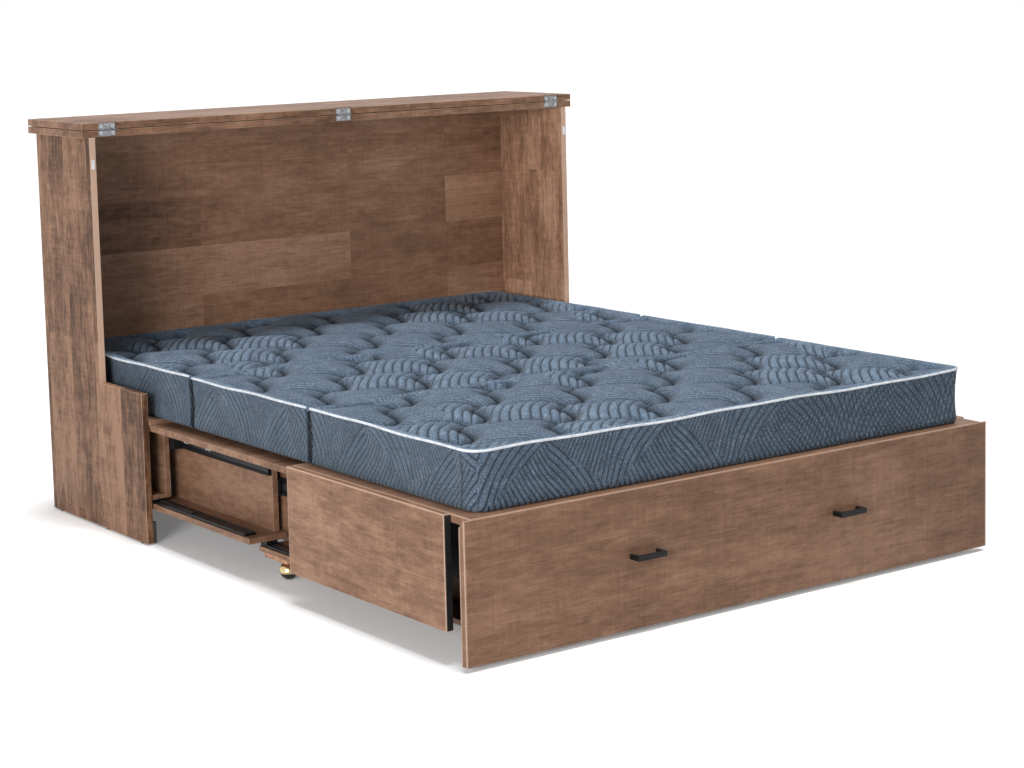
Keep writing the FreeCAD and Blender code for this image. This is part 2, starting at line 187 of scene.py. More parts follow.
def newGroup(name, inputs, outputs):
    # inputs and outputs give the kind of each socket by its name
    group = bpy.data.node_groups.new(name, "ShaderNodeTree")
    for way, sockets in (("INPUT", inputs), ("OUTPUT", outputs)):
        for title, kind in sockets.items():
            group.interface.new_socket(title, in_out=way, socket_type="NodeSocket" + kind)
    return group, addNode(group, "NodeGroupInput"), addNode(group, "NodeGroupOutput")


def addGroup(tree, group, values):
    node = addNode(tree, "ShaderNodeGroup", node_tree=group)
    setInputs(node, values)
    return node


def startMaterial(name):
    material = bpy.data.materials.new(name)
    material.use_nodes = True
    tree = material.node_tree
    shader = next(n for n in tree.nodes if n.type == "BSDF_PRINCIPLED")
    return material, tree, shader


def addBump(tree, shader, height, strength, distance):
    bump = addNode(tree, "ShaderNodeBump")
    setInputs(bump, {"Strength": strength, "Distance": distance})
    link(tree, height, bump.inputs["Height"])
    link(tree, bump.outputs["Normal"], shader.inputs["Normal"])


# Camera, at the viewing angle of the picture
camera = {
    "place": (-3.5269, -4.966, 1.486),
    "yaw": 35.96,
    "pitch": 7.117,
    "roll": -1.35,
    "lens": 80.414,
    "sensor": 36.0,
    "axisRow": 264,          # picture row that the optical axis meets
    "pictureWidth": 1024,
    "pictureHeight": 768,
}


def addCamera():
    yaw, pitch, roll = (math.radians(camera[k]) for k in ("yaw", "pitch", "roll"))
    look = Vector((math.sin(yaw) * math.cos(pitch), math.cos(yaw) * math.cos(pitch), -math.sin(pitch)))
    right = Vector((math.cos(yaw), -math.sin(yaw), 0))
    up = right.cross(look)
    turnedRight = right * math.cos(roll) + up * math.sin(roll)
    turnedUp = up * math.cos(roll) - right * math.sin(roll)
    turn = Matrix((turnedRight, turnedUp, -look)).transposed()
    bpy.ops.object.camera_add(location=camera["place"], rotation=turn.to_euler())
    cam = bpy.context.object
    cam.name = "viewCamera"
    cam.data.sensor_width = camera["sensor"]
    cam.data.lens = camera["lens"]
    cam.data.shift_y = -(camera["pictureHeight"] / 2 - camera["axisRow"]) / camera["pictureWidth"]
    bpy.context.scene.camera = cam


# Floor, world and lamps
studio = {
    "floorSize": 60.0,
    "floorColour": (0.95, 0.95, 0.95, 1),
    "floorLift": 0.14,       # what the camera sees on top of the lit floor
    "white": (1, 1, 1, 1),
    "worldLevel": 0.24,      # what lights the bed
    "backdropLevel": 1.0,    # what the camera sees behind it
    "sunFrom": (0.05, -0.08, 0.99),
    "sunLevel": 2.7,
    "sunAngle": 16.0,
    "lamps": (
        # name, place, aim, size, watts
        ("leftWindow", (-8.2, -5.2, 2.2), (0.2, 0.5, 0.6), 3.2, 520),
        ("nearLeft", (-4.2, -3.0, 1.2), (0, -0.4, 0.3), 1.2, 45),
    ),
}


def lookedAt(tree):
    # 1 where the eye sees it straight, in a mirror or through glass
    path = addNode(tree, "ShaderNodeLightPath")
    total = path.outputs["Is Camera Ray"]
    for name in ("Is Glossy Ray", "Is Transmission Ray"):
        total = mathNode(tree, "ADD", total, path.outputs[name], clamp=True)
    return total


def floorMaterial():
    material = bpy.data.materials.new("paleFloor")
    material.use_nodes = True
    tree = material.node_tree
    tree.nodes.clear()
    matte = addNode(tree, "ShaderNodeBsdfDiffuse")
    setInputs(matte, {"Color": studio["floorColour"]})
    lift = addNode(tree, "ShaderNodeEmission")
    setInputs(lift, {"Color": studio["white"]})
    link(tree, mathNode(tree, "MULTIPLY", lookedAt(tree), studio["floorLift"]), lift.inputs["Strength"])
    both = addNode(tree, "ShaderNodeAddShader")
    link(tree, matte.outputs[0], both.inputs[0])
    link(tree, lift.outputs[0], both.inputs[1])
    out = addNode(tree, "ShaderNodeOutputMaterial")
    link(tree, both.outputs[0], out.inputs["Surface"])
    return material


def addFloor():
    deselectAll()
    bpy.ops.mesh.primitive_plane_add(size=studio["floorSize"])
    floor = bpy.context.object
    floor.name = "studioFloor"
    dress(floor, floorMaterial())


def addWorld():
    world = bpy.data.worlds.new("studioWorld")
    bpy.context.scene.world = world
    world.use_nodes = True
    tree = world.node_tree
    tree.nodes.clear()
    mix = addNode(tree, "ShaderNodeMixShader")
    link(tree, lookedAt(tree), mix.inputs["Fac"])
    for slotNumber, level in ((1, studio["worldLevel"]), (2, studio["backdropLevel"])):
        room = addNode(tree, "ShaderNodeBackground")
        setInputs(room, {"Color": studio["white"], "Strength": level})
        link(tree, room.outputs[0], mix.inputs[slotNumber])
    out = addNode(tree, "ShaderNodeOutputWorld")
    link(tree, mix.outputs[0], out.inputs["Surface"])


def addLamps():
    turn = Vector(studio["sunFrom"]).to_track_quat("Z", "Y").to_euler()
    bpy.ops.object.light_add(type="SUN", rotation=turn)
    sun = bpy.context.object
    sun.name = "softSun"
    sun.data.energy = studio["sunLevel"]
    sun.data.angle = math.radians(studio["sunAngle"])
    for name, place, aim, size, watts in studio["lamps"]:
        turn = (Vector(aim) - Vector(place)).to_track_quat("-Z", "Y").to_euler()
        bpy.ops.object.light_add(type="AREA", location=place, rotation=turn)
        lamp = bpy.context.object
        lamp.name = name
        lamp.data.size = size
        lamp.data.energy = watts


addCamera()
addFloor()
addWorld()
addLamps()
bpy.context.scene.view_settings.view_transform = "Standard"
print("studio lit")


# Worn edges, for the wood and the coated metal
def makeEdgeGroup():
    # Eased corners: 0 on flat faces, 1 where the surface turns between two of them
    group, start, end = newGroup("easedEdge", {"Width": "Float"}, {"Mask": "Float"})
    normal = addNode(group, "ShaderNodeTexCoord").outputs["Normal"]
    x, y, z = [mathNode(group, "ABSOLUTE", axis) for axis in splitVector(group, normal)]
    largest = mathNode(group, "MAXIMUM", mathNode(group, "MAXIMUM", x, y), z)
    turned = mathNode(group, "SUBTRACT", 1.0, largest)
    link(group, mathNode(group, "DIVIDE", turned, start.outputs["Width"], clamp=True), end.inputs["Mask"])
    return group


def makeArrisGroup():
    # Sanded arrises: 1 along the lines where two faces of a board's box meet, 0 further in
    group, start, end = newGroup("sandedArris", {"Low": "Vector", "High": "Vector", "Width": "Float"},
                                 {"Mask": "Float"})
    place = addNode(group, "ShaderNodeTexCoord").outputs["Object"]
    fromLow = vectorNode(group, "SUBTRACT", place, start.outputs["Low"])
    fromHigh = vectorNode(group, "SUBTRACT", start.outputs["High"], place)
    # of the distances to the nearest face along each axis, the middle one is small at an arris alone
    x, y, z = splitVector(group, vectorNode(group, "MINIMUM", fromLow, fromHigh))
    larger = mathNode(group, "MINIMUM", mathNode(group, "MAXIMUM", x, y), z)
    middle = mathNode(group, "MAXIMUM", mathNode(group, "MINIMUM", x, y), larger)
    share = mathNode(group, "DIVIDE", middle, start.outputs["Width"], clamp=True)
    link(group, mathNode(group, "SUBTRACT", 1.0, share), end.inputs["Mask"])
    return group


edgeGroup = makeEdgeGroup()
arrisGroup = makeArrisGroup()

# Wood: edge-glued maple staves under a grey-brown stain
staves = {
    "rowsPerMetre": 6.8,
    "lengthInRows": 6.0,
    "rowOffsetShare": 0.41,      # of a stave's length, between neighbouring rows
    "apartAlong": 3.7,           # how far from each other two staves are cut
    "apartDeep": 9.1,
}
noiseMiddle = 0.5        # the tone about which staves and layers swing
grainLayers = (
    # name, stretch along and across the grain, scale, detail, roughness,
    # weight in the tone, whether it moves with its stave
    ("blotch", (1.0, 2.6), 4.6, 4, 0.60, 0.95, True),
    ("cloud", (1.0, 1.5), 2.1, 2, 0.50, 0.70, False),
    ("streak", (1.3, 30.0), 3.2, 6, 0.65, 0.60, True),
    ("fine", (5.0, 95.0), 3.0, 4, 0.60, 0.75, True),
    ("chatter", (120.0, 9.0), 1.0, 2, 0.60, 0.34, True),
    ("figure", (4.0, 16.0), 2.0, 3, 0.55, 0.45, True),
    ("mottle", (9.0, 22.0), 3.0, 5, 0.72, 1.05, True),
)
pores = {
    "stretch": (14.0, 420.0, 420.0),
    "noise": (1.6, 3, 0.6),      # scale, detail, roughness
    "from": 0.58,                # the noise at a pore's rim and at its bottom
    "full": 0.72,
    "streakHeight": 0.5,         # relief of the streaks against a pore's depth
}


def makeGrainGroup():
    # X of the vector runs along the grain, Y across the rows of staves
    group, start, end = newGroup(
        "stainedStaves",
        {"Vector": "Vector", "Stave Contrast": "Float", "Stave Rows": "Float", "Stave Shift": "Float",
         "Figure": "Float"},
        {"Tone": "Float", "Pores": "Float", "Height": "Float"})
    grain = start.outputs["Vector"]
    rows = addNode(group, "ShaderNodeTexBrick", offset=staves["rowOffsetShare"])
    setInputs(rows, {"Color1": (0, 0, 0, 1), "Color2": (1, 1, 1, 1), "Mortar": (0.5, 0.5, 0.5, 1),
                     "Mortar Size": 0.0, "Brick Width": staves["lengthInRows"], "Row Height": 1.0})
    link(group, grain, rows.inputs["Vector"])
    link(group, start.outputs["Stave Rows"], rows.inputs["Scale"])
    toneSplit = addNode(group, "ShaderNodeSeparateColor")
    link(group, rows.outputs["Color"], toneSplit.inputs[0])
    staveTone = toneSplit.outputs[0]
    # each stave is cut from another place of the tree
    away = mathNode(group, "MULTIPLY", staveTone, start.outputs["Stave Shift"])
    shift = addNode(group, "ShaderNodeCombineXYZ")
    link(group, mathNode(group, "MULTIPLY", away, staves["apartAlong"]), shift.inputs["X"])
    link(group, mathNode(group, "MULTIPLY", away, staves["apartDeep"]), shift.inputs["Z"])
    board = vectorNode(group, "ADD", grain, shift.outputs[0])
    tone = mathNode(group, "MULTIPLY", mathNode(group, "SUBTRACT", staveTone, noiseMiddle),
                    start.outputs["Stave Contrast"])
    layers = {}
    for name, (lengthwise, crosswise), scale, detail, rough, weight, moves in grainLayers:
        layer = stretched(group, board if moves else grain, (lengthwise, crosswise, crosswise))
        layers[name] = noiseNode(group, layer, scale, detail, rough)
        swing = mathNode(group, "MULTIPLY", mathNode(group, "SUBTRACT", layers[name], noiseMiddle), weight)
        swing = mathNode(group, "MULTIPLY", swing, start.outputs["Figure"])
        tone = mathNode(group, "ADD", tone, swing)
    link(group, mathNode(group, "ADD", tone, noiseMiddle, clamp=True), end.inputs["Tone"])
    specks = noiseNode(group, stretched(group, board, pores["stretch"]), *pores["noise"])
    dark = rangeNode(group, specks, pores["from"], pores["full"])
    link(group, dark, end.inputs["Pores"])
    relief = mathNode(group, "MULTIPLY", layers["streak"], pores["streakHeight"])
    link(group, mathNode(group, "SUBTRACT", relief, dark), end.inputs["Height"])
    return group


grainGroup = makeGrainGroup()

woodFinish = {
    "dark": (0.078, 0.038, 0.021),
    "mid": (0.222, 0.116, 0.068),
    "light": (0.390, 0.228, 0.146),
    "tonePlaces": (0.08, 0.5, 0.92),     # where these three lie in the grain's tone
    "pore": (0.055, 0.026, 0.013),
    "poreShade": 0.5,
    "edge": (0.56, 0.38, 0.28),          # where the stain is sanded off, and the colour of the painted highlight on the front edges
    "edgeWidth": 0.22,
    "edgeLight": 0.6,
    "frontHighlightStrength": 0.80,
    "frontHighlightFrom": 0.4125,             # height above which the front edges get a painted highlight
    "arrisWidth": 0.0042,
    "arrisLight": 0.78,
    "arrisDrop": 0.02,                   # puts the lowest arris below the board, so that it keeps its stain
    "roughSlope": -0.14,                 # the darker the tone, the duller
    "roughBase": 0.56,
    "specular": 0.22,
    "bumpStrength": 0.18,
    "bumpDistance": 0.0006,
}


def turnedPlace(tree, spot, along, across, offset):
    # The place with the grain's axis first and that of the stave rows second
    third = next(axis for axis in "XYZ" if axis not in (along, across))
    turned = addNode(tree, "ShaderNodeCombineXYZ")
    for target, axis in zip("XYZ", (along, across, third)):
        link(tree, mathNode(tree, "ADD", spot[axis], offset), turned.inputs[target])
    return turned.outputs[0]


def frontEdgeHighlightMask(tree, place, spot):
    # The narrow edges that look to the front, painted paler above a given height as a painted highlight
    facing = splitVector(tree, place.outputs["Normal"])
    onEdge = mathNode(tree, "LESS_THAN", facing["Y"], -squareOn)
    above = mathNode(tree, "GREATER_THAN", spot["Z"], woodFinish["frontHighlightFrom"])
    highlighted = mathNode(tree, "MULTIPLY", onEdge, above)
    return mathNode(tree, "MULTIPLY", highlighted, woodFinish["frontHighlightStrength"])


def arrisMask(tree, node):
    low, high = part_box(node)
    low.z -= woodFinish["arrisDrop"]
    arris = addGroup(tree, arrisGroup, {"Low": low, "High": high, "Width": woodFinish["arrisWidth"]})
    return mathNode(tree, "MULTIPLY", arris.outputs["Mask"], woodFinish["arrisLight"])


def woodMaterial(name, along, across, contrast, tint, figure=1.0, offset=0.0, shift=0.0,
                 warmth=(1.0, 1.0, 1.0), paintedFrontHighlight=False, arrisOf=""):
    # along and across name the axes of the grain and of the stave rows, arrisOf a node with sanded arrises.
    # offset moves the pattern along all axes, shift cuts each stave from another place
    material, tree, shader = startMaterial(name)
    place = addNode(tree, "ShaderNodeTexCoord")
    spot = splitVector(tree, place.outputs["Object"])
    grain = addGroup(tree, grainGroup, {"Stave Contrast": contrast, "Stave Rows": staves["rowsPerMetre"],
                                        "Stave Shift": shift, "Figure": figure})
    link(tree, turnedPlace(tree, spot, along, across, offset), grain.inputs["Vector"])
    dark, mid, light, pore = (tuple(c * w * tint for c, w in zip(woodFinish[k], warmth))
                              for k in ("dark", "mid", "light", "pore"))
    colour = rampNode(tree, grain.outputs["Tone"], woodFinish["tonePlaces"], (dark, mid, light))
    poreAmount = mathNode(tree, "MULTIPLY", grain.outputs["Pores"], woodFinish["poreShade"])
    colour = mixColour(tree, poreAmount, colour, pore)
    edge = addGroup(tree, edgeGroup, {"Width": woodFinish["edgeWidth"]})
    paleWearAndHighlight = mathNode(tree, "MULTIPLY", edge.outputs["Mask"], woodFinish["edgeLight"])
    # a painted highlight on the upper front edges, on top of the worn edges
    if paintedFrontHighlight:
        paleWearAndHighlight = mathNode(tree, "MAXIMUM", paleWearAndHighlight, frontEdgeHighlightMask(tree, place, spot))
    if arrisOf:
        paleWearAndHighlight = mathNode(tree, "MAXIMUM", paleWearAndHighlight, arrisMask(tree, arrisOf))
    link(tree, mixColour(tree, paleWearAndHighlight, colour, woodFinish["edge"]), shader.inputs["Base Color"])
    rough = sloped(tree, grain.outputs["Tone"], woodFinish["roughSlope"], woodFinish["roughBase"])
    link(tree, rough, shader.inputs["Roughness"])
    setInputs(shader, {"Specular IOR Level": woodFinish["specular"]})
    addBump(tree, shader, grain.outputs["Height"], woodFinish["bumpStrength"], woodFinish["bumpDistance"])
    return material


# Coated or bare metal, rubber and nylon: a fine speckle in colour, gloss and relief
plainFinish = {
    "speckNoise": (4, 0.6),      # detail, roughness
    "smearNoise": (3, 0.5),
    "specksPerSmear": 22,
    "tonePlaces": (0.3, 0.7),
    "edgeWidth": 0.25,
    "edgeShare": 0.5,
    "smearGloss": 0.22,          # how far the roughness swings from smear to smear
    "bumpStrength": 0.25,
}


def plainMaterial(name, colour, rough, speckScale, speckAmount, relief, metallic=0.0, edgeLight=0.0,
                  specular=0.5):
    material, tree, shader = startMaterial(name)
    place = addNode(tree, "ShaderNodeTexCoord").outputs["Object"]
    speck = noiseNode(tree, place, speckScale, *plainFinish["speckNoise"])
    smear = noiseNode(tree, place, speckScale / plainFinish["specksPerSmear"], *plainFinish["smearNoise"])
    low = tuple(c * (1 - speckAmount) for c in colour)
    high = tuple(min(1, c * (1 + speckAmount)) for c in colour)
    tone = rampNode(tree, speck, plainFinish["tonePlaces"], (low, high))
    if edgeLight:
        edge = addGroup(tree, edgeGroup, {"Width": plainFinish["edgeWidth"]})
        worn = mathNode(tree, "MULTIPLY", edge.outputs["Mask"], plainFinish["edgeShare"])
        tone = mixColour(tree, worn, tone, tuple(min(1, c + edgeLight) for c in colour))
    link(tree, tone, shader.inputs["Base Color"])
    gloss = plainFinish["smearGloss"]
    link(tree, sloped(tree, smear, gloss, rough - gloss / 2), shader.inputs["Roughness"])
    setInputs(shader, {"Metallic": metallic, "Specular IOR Level": specular})
    addBump(tree, shader, speck, plainFinish["bumpStrength"], relief)
    return material


# Knit of the mattress: heathered yarn in loops, darker along the sewn lines, with painted shade beside
# them, in the hollows and along the joins
knit = {
    "dark": (0.026, 0.044, 0.072),
    "mid": (0.108, 0.158, 0.228),
    "light": (0.350, 0.450, 0.560),
    "tonePlaces": (0.32, 0.50, 0.68),
    "fleckStretch": (1.0, 1.0, 1.6),
    "fleckNoise": (300, 3, 0.7),         # scale, detail, roughness
    "cloudNoise": (26, 3, 0.5),
    "fleckShare": 0.85,                  # of the yarn's tone, clouds make the rest
    "threadsPerMetre": 640.0,
    "loopDistortion": 3.0,
    "loopDetail": 2.0,
    "yarnHeight": 0.16,                  # against the depth of a sewn line
    # the colour of the sewn lines and of the painted shade in creases, hollows and joins
    "seamAndShadeColour": (0.004, 0.007, 0.012),
    "threadShade": 0.96,
    "hollowShade": 0.80,
    "roughSlope": 0.15,
    "roughBase": 0.78,
    "sheen": 0.10,
    "sheenRoughness": 0.45,
    "specular": 0.15,
    "bumpStrength": 0.9,
}
topCloth = {"tint": 1.0, "lineFrom": 0.4, "lineDepth": 0.0026, "lineShade": 0.62}
borderCloth = {"tint": 0.58, "lineFrom": 0.5, "lineDepth": 0.0036, "lineShade": 0.66}
borderFans = {
    "pitch": 0.0165,         # between sewn lines
    "period": 0.36,          # from fan to fan
    "height": 0.138,         # of the border, above the deck
    "start": 5.06,           # moves the fans along, and keeps their place above zero
    "lean": 0.085,
    "leanSlope": 0.9,        # the lines lean more towards a fan's peak
    "leanBase": 0.55,
    "crossFade": 0.2,        # from the middle of the foot end to where the lines cross fully
}


def grooveLine(tree, place, lineFrom):
    # 1 on the lines where place is whole, 0 half way between them
    away = mathNode(tree, "ABSOLUTE", mathNode(tree, "SUBTRACT", mathNode(tree, "FRACT", place), 0.5))
    return rangeNode(tree, away, lineFrom / 2, 0.5, "SMOOTHSTEP")


def makeBorderGroup():
    # Fans of sewn lines round the border, crossed into diamonds on half of the foot end
    group, _, end = newGroup("borderFans", {}, {"Groove": "Float"})
    place = addNode(group, "ShaderNodeTexCoord")
    spot = splitVector(group, place.outputs["Object"])
    facing = splitVector(group, place.outputs["Normal"])
    faceX = mathNode(group, "ABSOLUTE", facing["X"])
    faceY = mathNode(group, "ABSOLUTE", facing["Y"])
    onEnd = mathNode(group, "GREATER_THAN", faceY, faceX)
    onSide = mathNode(group, "SUBTRACT", 1.0, onEnd)
    along = mathNode(group, "ADD", mathNode(group, "MULTIPLY", spot["X"], onEnd),
                     mathNode(group, "MULTIPLY", spot["Y"], onSide))
    along = mathNode(group, "ADD", along, borderFans["start"])
    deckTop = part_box("front_panel")[1].z
    up = rangeNode(group, spot["Z"], deckTop, deckTop + borderFans["height"])
    peak = mathNode(group, "PINGPONG", mathNode(group, "MULTIPLY", along, 2 / borderFans["period"]), 1.0)
    under = mathNode(group, "LESS_THAN", up, peak)
    sign = mathNode(group, "SUBTRACT", mathNode(group, "MULTIPLY", under, 2.0), 1.0)
    spread = sloped(group, peak, borderFans["leanSlope"], borderFans["leanBase"])
    lean = mathNode(group, "MULTIPLY", mathNode(group, "MULTIPLY", sign, spread), borderFans["lean"])
    drift = mathNode(group, "MULTIPLY", lean, up)
    lines = []
    for way in ("ADD", "SUBTRACT"):
        lineNumber = mathNode(group, "DIVIDE", mathNode(group, way, along, drift), borderFans["pitch"])
        lines.append(grooveLine(group, lineNumber, borderCloth["lineFrom"]))
    rightHalf = rangeNode(group, spot["X"], 0.0, borderFans["crossFade"])
    crossed = mathNode(group, "MULTIPLY", rightHalf, onEnd)
    groove = mathNode(group, "MAXIMUM", lines[0], mathNode(group, "MULTIPLY", lines[1], crossed))
    link(group, groove, end.inputs["Groove"])
    return group


borderGroup = makeBorderGroup()


def knitMaterial(name, cloth):
    material, tree, shader = startMaterial(name)
    point = addNode(tree, "ShaderNodeTexCoord").outputs["Object"]
    fleck = noiseNode(tree, stretched(tree, point, knit["fleckStretch"]), *knit["fleckNoise"])
    cloud = noiseNode(tree, point, *knit["cloudNoise"])
    yarn = mathNode(tree, "ADD", mathNode(tree, "MULTIPLY", fleck, knit["fleckShare"]),
                    mathNode(tree, "MULTIPLY", cloud, 1 - knit["fleckShare"]))
    shades = [tuple(c * cloth["tint"] for c in knit[k]) for k in ("dark", "mid", "light")]
    colour = rampNode(tree, yarn, knit["tonePlaces"], shades)
    if cloth is borderCloth:
        lines = addGroup(tree, borderGroup, {}).outputs["Groove"]
    else:
        rows = grooveLine(tree, attributeNode(tree, "fineRow"), cloth["lineFrom"])
        lines = mathNode(tree, "MULTIPLY", rows, attributeNode(tree, "fineShare"))
    threadAndShade = mathNode(tree, "MULTIPLY", attributeNode(tree, "seamsAndShade"), knit["threadShade"])
    seamAndShadeAmount = mathNode(tree, "MAXIMUM", threadAndShade, mathNode(tree, "MULTIPLY", lines, cloth["lineShade"]))
    paintedHollowShade = mathNode(tree, "MULTIPLY", attributeNode(tree, "paintedHollowShade"), knit["hollowShade"])
    seamAndShadeAmount = mathNode(tree, "MAXIMUM", seamAndShadeAmount, paintedHollowShade, clamp=True)
    link(tree, mixColour(tree, seamAndShadeAmount, colour, knit["seamAndShadeColour"]), shader.inputs["Base Color"])
    loops = waveNode(tree, point, {"Scale": knit["threadsPerMetre"] / math.tau,
                                   "Distortion": knit["loopDistortion"], "Detail": knit["loopDetail"]})
    weave = mathNode(tree, "MULTIPLY", mathNode(tree, "ADD", loops, fleck), knit["yarnHeight"])
    relief = mathNode(tree, "SUBTRACT", weave, lines)
    addBump(tree, shader, relief, knit["bumpStrength"], cloth["lineDepth"])
    link(tree, sloped(tree, fleck, knit["roughSlope"], knit["roughBase"]), shader.inputs["Roughness"])
    setInputs(shader, {"Sheen Weight": knit["sheen"], "Sheen Roughness": knit["sheenRoughness"],
                       "Specular IOR Level": knit["specular"]})
    return material


# Piping: white woven cord
pipingFinish = {
    "dark": (0.46, 0.49, 0.53),
    "light": (0.64, 0.67, 0.70),
    "tonePlaces": (0.3, 0.7),
    "soilNoise": (60, 3, 0.5),           # scale, detail, roughness
    "weave": {"Scale": 90.0, "Distortion": 1.5},
    "roughSlope": 0.2,
    "roughBase": 0.55,
    "bumpStrength": 0.5,
    "bumpDistance": 0.0008,
}


def pipingMaterial():
    material, tree, shader = startMaterial("whitePiping")
    place = addNode(tree, "ShaderNodeTexCoord").outputs["Object"]
    soil = noiseNode(tree, place, *pipingFinish["soilNoise"])
    tone = rampNode(tree, soil, pipingFinish["tonePlaces"], (pipingFinish["dark"], pipingFinish["light"]))
    link(tree, tone, shader.inputs["Base Color"])
    rough = sloped(tree, soil, pipingFinish["roughSlope"], pipingFinish["roughBase"])
    link(tree, rough, shader.inputs["Roughness"])
    weave = waveNode(tree, place, pipingFinish["weave"])
    addBump(tree, shader, weave, pipingFinish["bumpStrength"], pipingFinish["bumpDistance"])
    return material


# The finishes of this bed
# The two side panels are one maple. The right one is painted far lighter and cooler, which stands in for
# light on its shaded inner face. The left one is painted darker against the strong light on its outer face.
leftWoodPaintedDarker = woodMaterial("leftMaplePaintedDarker", "Z", "Y", contrast=0.60, tint=0.70, figure=1.45, shift=1.0,
                        warmth=(1.0, 0.92, 0.82), paintedFrontHighlight=True)
rightWoodPaintedLighter = woodMaterial("rightMaplePaintedLighter", "Z", "Y", contrast=0.24, tint=1.75, figure=0.9, shift=1.0,
                         warmth=(1.0, 1.06, 1.12), paintedFrontHighlight=True)
backWood = woodMaterial("backMaple", "X", "Z", contrast=0.44, tint=1.12, figure=0.60, offset=0.31,
                        shift=1.0)
footWood = woodMaterial("footboardMaple", "X", "Z", contrast=0.03, tint=0.74, figure=0.62, offset=4.2,
                        arrisOf="footboard")
leftWingWood, rightWingWood = (
    woodMaterial(side + "WingMaple", "Y", "Z", contrast=0.03, tint=0.86, figure=0.8, offset=7.7,
                 arrisOf=side + "_wing") for side in ("left", "right"))
panelWood = woodMaterial("panelMaple", "X", "Y", contrast=0.03, tint=0.84, figure=0.62, offset=4.2,
                         arrisOf="front_panel")
topWood = woodMaterial("topMaple", "X", "Y", contrast=0.10, tint=0.95, offset=2.6)
deckWood = woodMaterial("deckPly", "X", "Y", contrast=0.03, tint=0.85, offset=5.3)
wallWood = woodMaterial("wallPly", "Y", "Z", contrast=0.03, tint=0.84, figure=0.7, offset=8.9)
palePine = woodMaterial("palePine", "Y", "X", contrast=0.05, tint=2.2, offset=1.4)
blackCoat = plainMaterial("blackCoat", (0.006, 0.006, 0.007), rough=0.40, speckScale=900, speckAmount=0.35,
                          relief=0.0002, edgeLight=0.02, specular=0.2)
brightPlate = plainMaterial("brightPlate", (0.62, 0.62, 0.64), rough=0.30, speckScale=700, speckAmount=0.08,
                            relief=0.0001, metallic=1.0)
hingeSteel = plainMaterial("hingeSteel", (0.25, 0.255, 0.265), rough=0.26, speckScale=160, speckAmount=0.45,
                           relief=0.0001, metallic=1.0)
dullSteel = plainMaterial("dullSteel", (0.115, 0.118, 0.125), rough=0.38, speckScale=700, speckAmount=0.15,
                          relief=0.0001, metallic=1.0)
paleNylon = plainMaterial("paleNylon", (0.70, 0.70, 0.70), rough=0.45, speckScale=600, speckAmount=0.05,
                          relief=0.0001)
hoodBrass = plainMaterial("hoodBrass", (0.72, 0.56, 0.30), rough=0.22, speckScale=500, speckAmount=0.08,
                          relief=0.0001, metallic=1.0)
blackRubber = plainMaterial("blackRubber", (0.012, 0.012, 0.013), rough=0.38, speckScale=800,
                            speckAmount=0.3, relief=0.0002)
darkNylon = plainMaterial("darkNylon", (0.03, 0.03, 0.032), rough=0.5, speckScale=600, speckAmount=0.2,
                          relief=0.0002)
quiltKnit = knitMaterial("quiltKnit", topCloth)
borderKnit = knitMaterial("borderKnit", borderCloth)
whitePiping = pipingMaterial()
print("finishes made")

finishes = {
    "left_side_panel": leftWoodPaintedDarker, "right_side_panel": rightWoodPaintedLighter, "back_panel": backWood,
    "rear_top_leaf": topWood, "front_top_leaf": topWood, "foot_blocks": darkNylon,
    "footboard": footWood, "front_panel": panelWood,
    "left_wing": leftWingWood, "right_wing": rightWingWood,
    "head_deck": deckWood, "deck_cleat": deckWood, "mid_deck": deckWood, "front_rear_rail": deckWood,
    "panel_battens": wallWood, "caster_blocks": palePine,
    "cabinet_glides": darkNylon, "front_glides": darkNylon,
    "left_wing_strip": blackRubber, "right_wing_strip": blackRubber,
    "left_caster_ball": blackRubber, "right_caster_ball": blackRubber,
    "left_caster_hood": hoodBrass, "right_caster_hood": hoodBrass,
    # the corner brackets behind the footboard are coated black, a dark piece that stands in for the shade
    # in the gap between each wing and the footboard
    "left_handle": blackCoat, "right_handle": blackCoat, "corner_brackets": blackCoat,
}


def finishFor(name):
    if name in finishes:
        return finishes[name]
    if "slides" in name:
        return blackCoat
    if any(word in name for word in ("wall", "ledge", "bottom_board")):
        return wallWood
    return hingeSteel if "hinge" in name else brightPlate


def dressFrame():
    for name, obj in nodes.items():
        if not name.startswith("mattress"):
            dress(obj, finishFor(name))
    print("frame dressed")


dressFrame()

